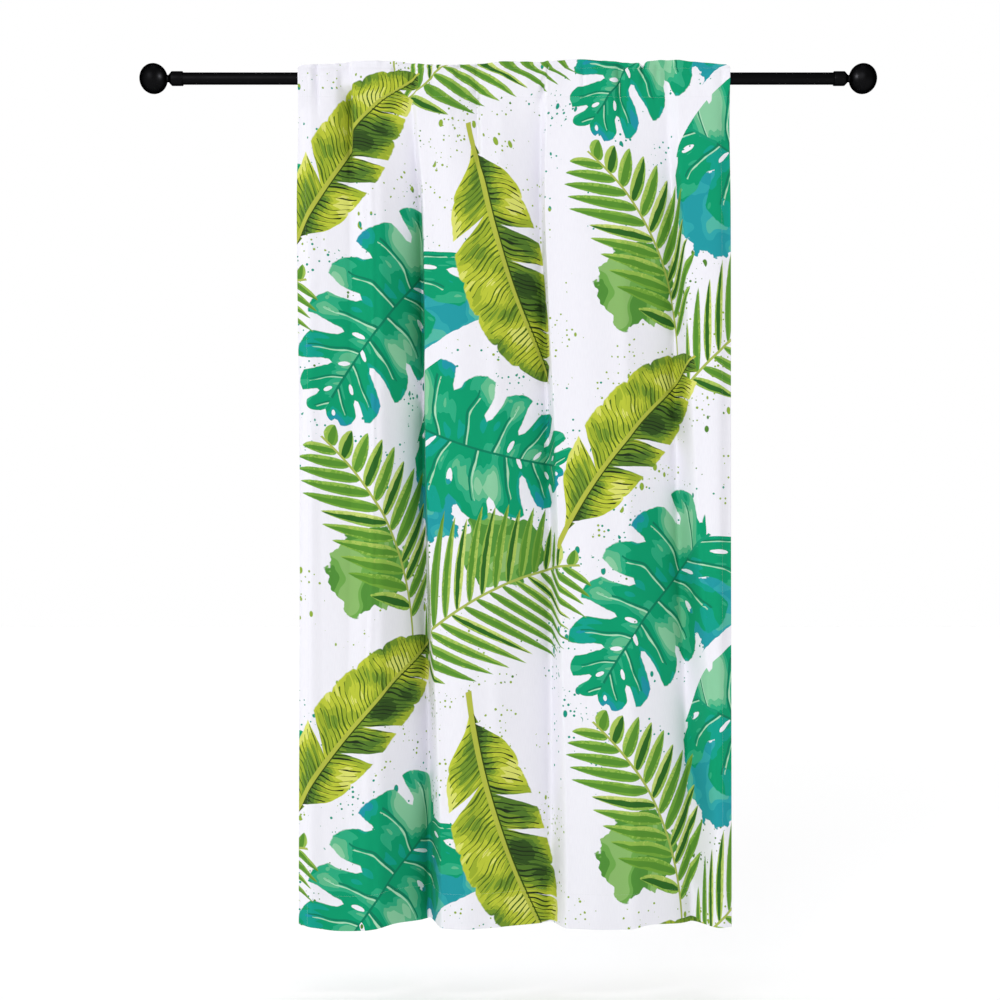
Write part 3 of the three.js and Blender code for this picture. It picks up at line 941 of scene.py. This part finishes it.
def split_leaf(ink):
    """A heart-shaped leaf cut into fingers, in teal."""
    along, across, sure, away, right = ink.leaf_sides("split_leaf")
    sway = ink.noise(along, across, 4.0) - 0.5
    vein = (along + away * 0.80 - away * away * 0.65) / (away * 1.9 + 1.0) + sway * 0.05
    reach = (vein + SPLIT_LEAF_START).curve(SPLIT_LEAF_OUTLINE)
    out = away / reach.most(0.02)
    finger = vein * FINGERS + right * 0.45 + 0.2
    part = finger.part()
    beside = (part - 0.5).size() * 2.0
    gap_number = (finger + 0.5).whole() + right * 23.0
    cut = gap_number.chance() * 0.46 + 0.26
    rag = ink.noise(along, across, 36.0) - 0.5
    ends = out + ((part - 0.62) * 1.9) ** 2.0 * 0.20 + rag * 0.03
    gap = (out - cut).step(0.0, 0.10) * 0.20 + (out - cut).most(0.0) * 0.40
    solid = (1.0 - ends).step(0.0, 0.02) * (1.06 - beside - gap + rag * 0.05).step(0.0, 0.05)
    holed = (gap_number + 0.5).chance().above(0.55)
    hole_place = (out - cut + 0.20) / 0.11
    hole = hole_place ** 2.0 + ((1.0 - beside) / 0.17) ** 2.0 + rag * 0.5
    solid = solid * (1.0 - holed * (1.0 - hole).step(0.0, 0.1))
    solid = solid * sure.above(0.0) * reach.above(0.02)
    streak = ink.noise(vein, away * 0.22, 22.0) - 0.5
    paint = ink.noise(along, across, 2.3) + streak * 0.24 + right * 0.05 - out * 0.10
    ink.lay(solid, ink.tones(paint, SPLIT_LEAF_TONES))
    fleck = ink.noise(along, across, 15.0) - 0.5
    inner = out.below(0.86) * (out + fleck * 0.5).below(0.72)
    dark = (0.075 - ((part - 0.5).size() * 1.5) - out * 0.05).step(0.0, 0.02)
    pale = (0.050 - (part - 0.57).size() * 1.5 - out * 0.03 + fleck * 0.06).step(0.0, 0.02)
    ink.lay(solid * pale * inner, "a8d6b6")
    ink.lay(solid * dark * inner, "067a5a")
    ink.lay(solid * stem(along, 0.008 - away, 0.003, -0.02, 0.92), "067a5a")
    ink.lay(stem(along, 0.010 - away, 0.003, -0.17, 0.04) * sure.above(0.0), "12946f")


def paddle_leaf(ink):
    """A long torn leaf with close side veins, in olive and lime."""
    along, across, sure, away, right = ink.leaf_sides("paddle_leaf")
    sway = ink.noise(along, across, 6.0) - 0.5
    vein = along - away * 0.60 + sway * 0.03
    reach = (vein + OTHER_LEAF_START).curve(PADDLE_LEAF_OUTLINE)
    out = away / reach.most(0.01)
    flap = vein * FLAPS + right * 0.37
    tear_number = (flap + 0.5).whole() + right * 17.0
    beside = (flap.part() - 0.5).size() * 2.0
    torn = (tear_number.chance() - 0.45).most(0.0)
    tear = (out - 0.12).most(0.0) * torn * 1.1
    rag = ink.noise(along, across, 34.0) - 0.5
    solid = (1.0 - out - beside ** 6.0 * 0.08 + rag * 0.05).step(0.0, 0.03)
    solid = solid * (1.04 - beside - tear + rag * 0.04).step(0.0, 0.04) * sure.above(0.0)
    solid = solid * reach.above(0.01)
    streak = ink.noise(vein, away * 0.16, 60.0) - 0.5
    light = ink.noise(along, across, 4.5) + streak * 0.20 + right * 0.10 + (out - 0.5) * 0.10
    ink.lay(solid, ink.tones(light, PADDLE_LEAF_TONES))
    line = (vein * SIDE_VEINS + sway * 1.5).part()
    drawn = ink.noise(vein, away * 0.5, 20.0, 2.0) - 0.5
    stroke = (0.30 - line + drawn * 0.9 - out * 0.20).step(0.0, 0.06) * out.below(0.88)
    ink.lay(solid * stroke, ink.mix(right, "202e16", "47631c"))
    ink.lay(stem(along, 0.012 - away - along * 0.006, 0.002, -0.12, 0.97) * sure.above(0.0), "aeb545")
    shade = (0.016 - away).step(0.0, 0.003) * away.above(0.009) * right.below(0.5)
    ink.lay(shade * solid * along.below(0.93), "33480f")


def frond(ink, leaf):
    """A feather of leaflets on a thin stalk."""
    along, across, sure, away, right = ink.leaf_sides(leaf.kind)
    vein = along - away * leaf.lean - away * away * 0.35
    place = vein * leaf.leaflets + right * 0.5
    number = place.whole()
    middle = (number + 0.5 - right * 0.5) / leaf.leaflets
    out = away / (middle + OTHER_LEAF_START).curve(leaf.outline).most(0.01)
    uneven = (number + right * 31.0).chance()
    out = out * (uneven * 0.25 + 0.9)
    beside = place.part() - 0.5
    rag = ink.noise(along, across, 60.0) - 0.5
    lens = out.most(0.0) ** 0.45 * (1.0 - out).most(0.0) ** 0.75 * leaf.fill
    leaflet = (lens - beside.size() + rag * 0.05).step(0.0, 0.04) * out.below(1.0)
    leaflet = leaflet * middle.above(0.0) * middle.below(0.985) * sure.above(0.0)
    ink.lay(leaflet, ink.tones(uneven * 0.7 + beside * 0.5 + rag * 0.4 + 0.1, leaf.tones))
    fleck = ink.noise(place, away * 6.0, 3.0) - 0.5
    dark = (lens * 0.50 - (beside + 0.05).size() + fleck * 0.14).step(0.0, 0.04)
    ink.lay(leaflet * dark, ink.mix(uneven.above(0.62), "548a2e", "2d6322"))
    ink.lay(stem(along, 0.0065 - away, 0.002, -0.14, 1.0) * sure.above(0.0), "a3b254")


THREAD = 0.0011  # from one thread of the cloth to the next
# Heights in metres of the threads, of thicker places in them and of the soft unevenness of the cloth
THREAD_RELIEF = 0.000022
SLUB_RELIEF = 0.000050
WRINKLE_RELIEF = 0.0011
WRINKLE_SCALE = 17.0
WRINKLE_STRETCH = 0.28


def add_bump(tree, shader, height, strength, distance):
    bump = add_node(tree, "Bump", {}, {"Height": height, "Strength": strength, "Distance": distance})
    set_inputs(tree, shader, {"Normal": bump.outputs["Normal"]})


def leaf_print(ink):
    for kind, colour in SPLATTER:
        splatter(ink, kind, colour)
    for blot in BLOTS:
        wash(ink, blot)
    split_leaf(ink)
    for leaf in FRONDS:
        frond(ink, leaf)
    paddle_leaf(ink)


def cloth_material(name, printed):
    """A matt cloth with fine threads, thicker places in them and soft small wrinkles."""
    material, tree, shader = new_material(name)
    ink = Ink(tree)
    if printed:
        leaf_print(ink)
    set_inputs(tree, shader, {"Base Color": ink.colour, "Roughness": 0.80, "Specular IOR Level": 0.12,
                              "Sheen Weight": 0.02, "Sheen Roughness": 0.5})
    turns = 2 * math.pi / THREAD
    threads = (ink.across * turns).math("SINE") * (ink.up * turns).math("SINE")
    wrinkles = ink.noise(ink.across, ink.up * WRINKLE_STRETCH, WRINKLE_SCALE, 2.0)
    height = threads * THREAD_RELIEF + ink.slubs * SLUB_RELIEF + wrinkles * WRINKLE_RELIEF
    add_bump(tree, shader, height, strength=1.0, distance=1.0)
    return material


def thread_material():
    """Pale grey twisted thread: the twist as bump, and slightly darker in places."""
    material, tree, shader = new_material("pale thread")
    place = add_node(tree, "TexCoord", {}, {}).outputs["Object"]
    fibres = add_node(tree, "TexNoise", {}, {"Vector": place, "Scale": 2600.0}).outputs["Fac"]
    shade = add_node(tree, "Mix", {"data_type": "RGBA"}, {0: fibres, 6: THREAD_DARK, 7: THREAD_PALE})
    set_inputs(tree, shader, {"Base Color": shade.outputs[2], "Roughness": 0.7,
                              "Specular IOR Level": 0.2})
    add_bump(tree, shader, fibres, strength=0.4, distance=0.0001)
    return material


curtain, grids, sheet = make_curtain()
lay_print(curtain.data, grids)
curtain.data.materials.append(cloth_material("printed blackout cloth", True))
curtain.data.materials.append(cloth_material("white cloth back", False))
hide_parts("curtain_panel")
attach(curtain, "root")
stitches = make_stitches(sheet)
stitches.data.materials.append(thread_material())
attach(stitches, "root")

# The rod, its end collars and the ball finials, modelled in edit mode. Each is a round piece along X.
ROD_END = 0.826
FIT_GAP = 0.0003
COLLAR_MOUTH = 0.805
COLLAR_SHOULDER = 0.832
COLLAR_NOSE = 0.8395
COLLAR_RADIUS = 0.018
COLLAR_NOSE_RADIUS = 0.010
COLLAR_RIM = 0.0012
NECK_RADIUS = 0.009
SPIGOT_RADIUS = 0.005
BALL_RADIUS = 0.0375
BALL_MIDDLE = 0.8775
BALL_HALF_LENGTH = 0.0345
BALL_RINGS_CUT = 4  # rings of the ball that its neck takes the place of
ROD_ROUNDING = 0.0008
SMALL_ROUNDING = 0.0003
SIDES = 96
ALONG_X = (0, math.pi / 2, 0)
NEAR = 1e-5
CLOSE = 1e-4
SMOOTH_BELOW = math.radians(32)


def around(place):
    """How far a place is from the rod's axis."""
    return math.hypot(place.y, place.z)


def placed_piece():
    """The piece that was just added or turned, with its place put into its mesh."""
    bpy.ops.object.transform_apply(location=True, rotation=True, scale=True)
    return bpy.context.object


def pick(piece, kind, wanted):
    """Selects only the vertices, edges or faces whose every vertex is wanted, in edit mode."""
    bpy.ops.object.mode_set(mode="OBJECT")
    mesh = piece.data
    for elements in (mesh.vertices, mesh.edges, mesh.polygons):
        elements.foreach_set("select", np.zeros(len(elements), bool))
    if kind == "vertices":
        for vertex in mesh.vertices:
            vertex.select = wanted(vertex.co)
    else:
        for element in getattr(mesh, kind):
            element.select = all(wanted(mesh.vertices[i].co) for i in element.vertices)
    bpy.context.tool_settings.mesh_select_mode = [kind == k for k in ("vertices", "edges", "polygons")]
    bpy.ops.object.mode_set(mode="EDIT")


def extrude(distance):
    """Pulls a new ring out of what is selected, along X."""
    bpy.ops.mesh.extrude_region_move(TRANSFORM_OT_translate={"value": (distance, 0, 0)})


def scale_ring(factor, x):
    bpy.ops.transform.resize(value=(1, factor, factor), center_override=(x, 0, 0))


def finish_piece(piece, name):
    """Closes the modelling of a piece and shades it."""
    bpy.ops.mesh.select_all(action="SELECT")
    bpy.ops.mesh.normals_make_consistent(inside=False)
    bpy.ops.object.mode_set(mode="OBJECT")
    bpy.ops.object.shade_smooth_by_angle(angle=SMOOTH_BELOW)
    piece.name = name
    piece.data.name = name
    return piece


def round_bar(radius, start, end):
    """A plain cylinder along X, with its shape applied and edit mode open."""
    bpy.ops.object.select_all(action="DESELECT")
    bpy.ops.mesh.primitive_cylinder_add(vertices=SIDES, radius=radius, depth=end - start,
                                        location=((start + end) / 2, 0, 0), rotation=ALONG_X)
    piece = placed_piece()
    bpy.ops.object.mode_set(mode="EDIT")
    return piece


def make_rod():
    rod = round_bar(ROD_RADIUS, -ROD_END, ROD_END)
    pick(rod, "edges", lambda place: abs(place.x) > ROD_END - NEAR)
    bpy.ops.mesh.bevel(offset=ROD_ROUNDING, segments=3)
    return finish_piece(rod, "black_rod")


def make_collar():
    """A sleeve over the rod's right end that tapers to the finial's neck, open for its spigot."""
    bore = ROD_RADIUS + FIT_GAP
    hole = SPIGOT_RADIUS + FIT_GAP
    collar = round_bar(COLLAR_RADIUS, COLLAR_MOUTH, COLLAR_SHOULDER)
    pick(collar, "polygons", lambda place: place.x > COLLAR_SHOULDER - NEAR)
    extrude(COLLAR_NOSE - COLLAR_SHOULDER)
    scale_ring(COLLAR_NOSE_RADIUS / COLLAR_RADIUS, COLLAR_NOSE)
    bpy.ops.mesh.inset(thickness=COLLAR_NOSE_RADIUS - hole)
    pick(collar, "polygons", lambda place: place.x < COLLAR_MOUTH + NEAR)
    bpy.ops.mesh.inset(thickness=COLLAR_RADIUS - bore)
    extrude(ROD_END + FIT_GAP - COLLAR_MOUTH)
    bpy.ops.mesh.inset(thickness=bore - hole)
    pick(collar, "polygons", lambda place: around(place) < hole + 2 * CLOSE)
    bpy.ops.mesh.bridge_edge_loops()

    def ring(x, radius, size, segments):
        pick(collar, "edges", lambda place: math.hypot(place.x - x, around(place) - radius) < CLOSE)
        bpy.ops.mesh.bevel(offset=size, segments=segments)

    ring(COLLAR_MOUTH, COLLAR_RADIUS, COLLAR_RIM, 3)
    ring(COLLAR_SHOULDER, COLLAR_RADIUS, COLLAR_RIM, 3)
    ring(COLLAR_MOUTH, bore, SMALL_ROUNDING, 2)
    ring(COLLAR_NOSE, COLLAR_NOSE_RADIUS, 0.0005, 2)
    return finish_piece(collar, "end_collar_right")


def make_ball():
    """A slightly flattened ball with a short neck, and a spigot that goes through the collar's nose."""
    bpy.ops.object.select_all(action="DESELECT")
    bpy.ops.mesh.primitive_uv_sphere_add(segments=SIDES, ring_count=SIDES // 2, radius=BALL_RADIUS,
                                         location=(BALL_MIDDLE, 0, 0), rotation=ALONG_X,
                                         scale=(1, 1, BALL_HALF_LENGTH / BALL_RADIUS))
    ball = placed_piece()
    cut_angle = math.pi / (SIDES // 2) * BALL_RINGS_CUT
    neck_ring = BALL_RADIUS * math.sin(cut_angle)
    at_neck = BALL_MIDDLE - BALL_HALF_LENGTH * math.cos(cut_angle)
    pick(ball, "vertices", lambda place: place.x < BALL_MIDDLE and around(place) < neck_ring - CLOSE)
    bpy.ops.mesh.delete(type="VERT")
    pick(ball, "edges", lambda place: place.x < BALL_MIDDLE and around(place) < neck_ring + CLOSE)
    radius, x = neck_ring, at_neck
    # each ring of the neck and spigot: its place along the rod and its radius
    neck = (
        (at_neck - 0.0005, 0.00930),
        (at_neck - 0.0011, 0.00905),
        (at_neck - 0.0018, NECK_RADIUS),
        (COLLAR_NOSE + FIT_GAP + SMALL_ROUNDING, NECK_RADIUS),
        (COLLAR_NOSE + FIT_GAP, NECK_RADIUS - SMALL_ROUNDING),
        (COLLAR_NOSE + FIT_GAP, SPIGOT_RADIUS),
        (ROD_END + 2 * FIT_GAP + 0.0004, SPIGOT_RADIUS),
        (ROD_END + 2 * FIT_GAP, SPIGOT_RADIUS - 0.0004),
    )
    for next_x, next_radius in neck:
        extrude(next_x - x)
        scale_ring(next_radius / radius, next_x)
        radius, x = next_radius, next_x
    bpy.ops.mesh.edge_face_add()
    return finish_piece(ball, "ball_right")


def other_end(piece, name):
    """A copy of a piece turned to the rod's left end."""
    bpy.ops.object.select_all(action="DESELECT")
    piece.select_set(True)
    bpy.context.view_layer.objects.active = piece
    bpy.ops.object.duplicate()
    bpy.ops.transform.rotate(value=math.pi, orient_axis="Z", center_override=(0, 0, 0))
    copy = placed_piece()
    copy.name = name
    copy.data.name = name
    return copy


BLACK = (0.0068, 0.0068, 0.0074, 1.0)
BLACK_GLEAM = (0.08, 0.08, 0.08, 1.0)
WORN_SCALE = 34.0
WORN_SMOOTHER = 0.05
WORN_ROUGHER = 0.06


def black_satin(name, roughness, grain):
    """Black paint on metal: nearly no mirror light, a faint soft gleam and a fine uneven skin."""
    material, tree, shader = new_material(name)
    place = add_node(tree, "TexCoord", {}, {}).outputs["Object"]
    skin = add_node(tree, "TexNoise", {}, {"Vector": place, "Scale": grain, "Detail": 2.0})
    worn = add_node(tree, "TexNoise", {}, {"Vector": place, "Scale": WORN_SCALE, "Detail": 3.0})
    spread = add_node(tree, "MapRange", {}, {
        "Value": worn.outputs["Fac"], "From Min": 0.3, "From Max": 0.7,
        "To Min": roughness - WORN_SMOOTHER, "To Max": roughness + WORN_ROUGHER})
    set_inputs(tree, shader, {"Base Color": BLACK, "Metallic": 1.0, "Specular Tint": BLACK_GLEAM,
                              "Roughness": spread.outputs["Result"]})
    add_bump(tree, shader, skin.outputs["Fac"], strength=0.10, distance=0.0001)
    return material


rod_black = black_satin("black painted rod", 0.42, 1400.0)
finial_black = black_satin("black painted finial", 0.36, 1100.0)
rod = make_rod()
collar = make_collar()
ball = make_ball()
HARD_PIECES = (
    (rod, "rod", rod_black, "rod_black"),
    (collar, "collar_right", rod_black, "rod_black"),
    (other_end(collar, "end_collar_left"), "collar_left", rod_black, "rod_black"),
    (ball, "ball_finial_right", finial_black, "finial_black"),
    (other_end(ball, "ball_left"), "ball_finial_left", finial_black, "finial_black"),
)
for piece, node, material, slot in HARD_PIECES:
    piece.data.materials.append(material)
    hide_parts(node)
    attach(piece, "root")

# Stage: a plain pale floor, a white studio and soft light from the left front
FLOOR_UNDER_HEM = 0.16
FLOOR_REACH = 12.0
PLAIN_WHITE = (1.0, 1.0, 1.0, 1.0)
BRIGHT_SIDE = (-0.55, 0.835, 0.0)
DIM_SIDE_LEVEL = 0.5


def make_floor():
    corners = np.array(((-1, -1, 0), (1, -1, 0), (1, 1, 0), (-1, 1, 0))) * FLOOR_REACH
    corners[:, 2] = HEM_LINE - FLOOR_UNDER_HEM
    mesh = smooth_mesh("floor", corners, np.array([(0, 1, 2, 3)]))
    material, tree, shader = new_material("pale floor")
    set_inputs(tree, shader, {"Base Color": PLAIN_WHITE, "Roughness": 0.9})
    mesh.materials.append(material)
    return into_scene("floor", mesh)


def studio_world():
    """White behind the curtain, and dimmer towards the right front, so that the folds show."""
    world = bpy.data.worlds.new("white studio")
    world.use_nodes = True
    tree = world.node_tree
    direction = add_node(tree, "TexCoord", {}, {}).outputs["Generated"]
    toward = add_node(tree, "VectorMath", {"operation": "DOT_PRODUCT"}, {0: direction, 1: BRIGHT_SIDE})
    level = add_node(tree, "MapRange", {"interpolation_type": "SMOOTHSTEP"}, {
        "Value": toward.outputs["Value"], "From Min": -0.9, "From Max": 0.55,
        "To Min": DIM_SIDE_LEVEL, "To Max": 1.0})
    set_inputs(tree, tree.nodes["Background"], {"Color": PLAIN_WHITE, "Strength": level.outputs["Result"]})
    return world


def add_lamp(name, kind, energy, place, target, settings):
    light = bpy.data.lights.new(name, kind)
    light.energy = energy
    for setting, value in settings.items():
        setattr(light, setting, value)
    lamp = into_scene(name, light)
    lamp.location = place
    lamp.rotation_euler = (Vector(target) - Vector(place)).to_track_quat("-Z", "Y").to_euler()
    return lamp


floor = make_floor()
bpy.context.scene.world = studio_world()
bpy.context.scene.view_settings.view_transform = "Standard"
add_lamp("key from the left", "SUN", energy=1.15, place=(0, 0, 0), target=(0.42, 1.0, -0.2),
         settings={"angle": math.radians(40)})
add_lamp("overhead", "SUN", energy=0.5, place=(0, 0, 0), target=(0, 0, -1),
         settings={"angle": math.radians(30)})

# Two small lamps, each of which lights nothing but puts a highlight on one ball
GLINT = {"shadow_soft_size": 0.05, "spot_size": math.radians(30), "spot_blend": 0.4}
for side, name in ((-1, "highlight on the left ball"), (1, "highlight on the right ball")):
    glint = add_lamp(name, "SPOT", energy=15.0, place=(side * 0.30, -0.26, 0.10),
                     target=(side * 0.875, 0, 0), settings=GLINT)
    glint.visible_camera = False
    glint.visible_diffuse = False

# Camera: level, where the photograph was taken from
PHOTO_PIXEL = 0.0024745  # metres to a pixel at the rod
PHOTO_SIZE = 1000
ROD_MIDDLE_PIXEL = (508.2, 78.6)
CAMERA_BACK = 4.2
camera = bpy.data.cameras.new("camera")
camera.sensor_fit = "HORIZONTAL"
camera.sensor_width = 36.0
camera.lens = camera.sensor_width * CAMERA_BACK / (PHOTO_SIZE * PHOTO_PIXEL)
camera_object = into_scene("camera", camera)
camera_object.location = ((PHOTO_SIZE / 2 - ROD_MIDDLE_PIXEL[0]) * PHOTO_PIXEL, -CAMERA_BACK,
                          (ROD_MIDDLE_PIXEL[1] - PHOTO_SIZE / 2) * PHOTO_PIXEL)
camera_object.rotation_euler = (math.pi / 2, 0, 0)
bpy.context.scene.camera = camera_object
